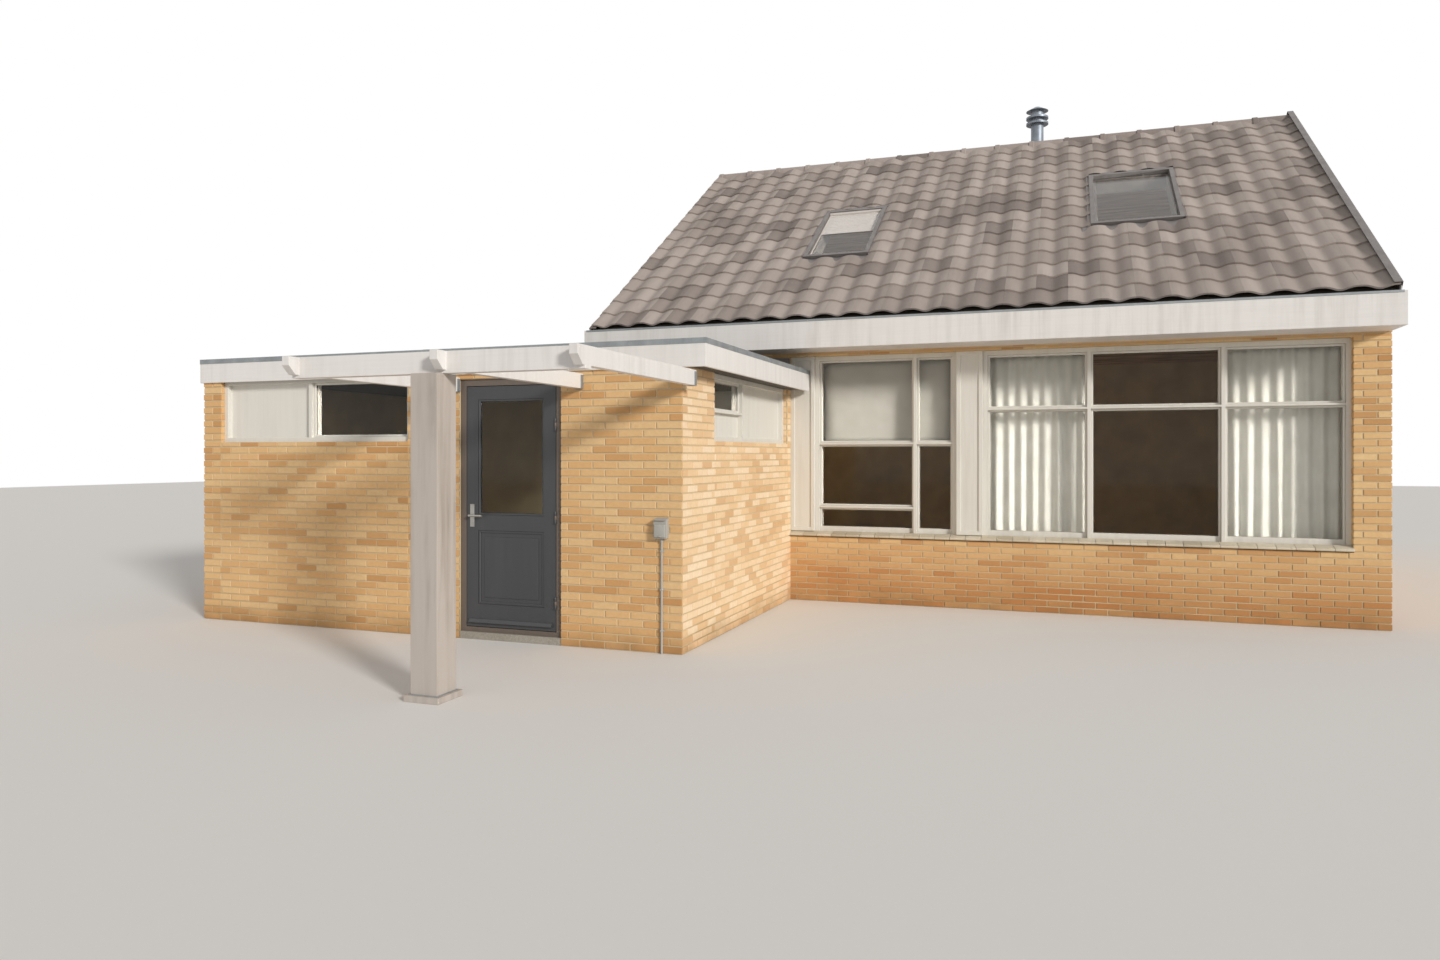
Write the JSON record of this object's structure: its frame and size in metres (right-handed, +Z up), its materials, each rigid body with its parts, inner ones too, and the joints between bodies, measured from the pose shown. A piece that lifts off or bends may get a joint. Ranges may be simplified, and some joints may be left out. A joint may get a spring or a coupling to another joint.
{
  "type": "brick bungalow with a flat-roofed annexe",
  "caption": "Single-storey brick house with a tiled saddle roof, a wide window front and a flat-roofed annexe with a pergola and a hinged door.",
  "frame": {"origin": "under the middle of the whole building's box, on the ground", "axes": "+X along the facade to the viewer's right, +Y back from the facade through the house, +Z up"},
  "size_m": [10.398, 13.41, 6.49],
  "materials": {
    "concrete": "float-finished concrete",
    "brick": "buff brickwork with pale mortar joints",
    "roof_tiles": "weathered grey concrete roof tiles",
    "ridge_tiles": "weathered grey half-round ridge tiles",
    "white_paint": "white paint on boards, a little weathered",
    "white_joinery": "white gloss paint on timber",
    "flue_metal": "dull grey sheet metal",
    "roof_window_metal": "dark grey coated sheet metal",
    "window_glass": "clear double glazing",
    "sill_tiles": "brown fired sill tiles",
    "curtain_cloth": "pale pleated curtain cloth",
    "blind_cloth": "pale roller blind cloth",
    "roofing_felt": "mineral-surfaced roofing felt",
    "door_frame_paint": "dark brown-grey paint on timber",
    "door_paint": "dark slate-blue paint on timber",
    "grey_plastic": "weathered pale grey plastic",
    "door_metal": "satin aluminium"
  },
  "bodies": {
    "building": {"house_floor": "concrete", "front_wall_base": "brick", "front_wall_left": "brick", "front_wall_head": "brick", "left_gable_wall": "brick", "party_wall": "brick", "rear_wall_base": "brick", "rear_wall_piers": "brick", "rear_wall_head": "brick", "roof_front_slope": "roof_tiles", "roof_rear_slope": "roof_tiles", "ridge_capping": "ridge_tiles", "front_gutter": "white_paint", "rear_gutter": "white_paint", "left_verge_board": "white_paint", "flue_pipe": "flue_metal", "roof_window_frames": "roof_window_metal", "roof_window_glass": "window_glass", "kitchen_window_frame": "white_joinery", "living_window_frame": "white_joinery", "front_window_posts": "white_joinery", "front_window_glass": "window_glass", "front_window_sill": "sill_tiles", "living_curtains": "curtain_cloth", "kitchen_blind": "blind_cloth", "curtain_rails": "white_joinery", "rear_window_frames": "white_joinery", "rear_window_glass": "window_glass", "annexe_floor": "concrete", "annexe_front_wall_left": "brick", "annexe_front_wall_right": "brick", "annexe_left_wall": "brick", "annexe_rear_wall": "brick", "annexe_side_wall": "brick", "strip_window_frame": "white_joinery", "side_window_frame": "white_joinery", "annexe_window_glass": "window_glass", "annexe_roof": "roofing_felt", "annexe_fascia": "white_paint", "pergola_beams": "white_paint", "pergola_post": "white_paint", "wall_socket_box": "grey_plastic", "annexe_door_frame": "door_frame_paint"},
    "annexe_door": {"annexe_door_leaf": "door_paint", "annexe_door_pane": "window_glass", "annexe_door_handle": "door_metal"}
  },
  "joints": [
    {"name": "annexe_door_hinge", "type": "hinge", "parent": "building", "child": "annexe_door", "pos_m": [-1.402, -4.792, 1], "axis": [0, 0, 1], "range_deg": [0, 100]}
  ]
}
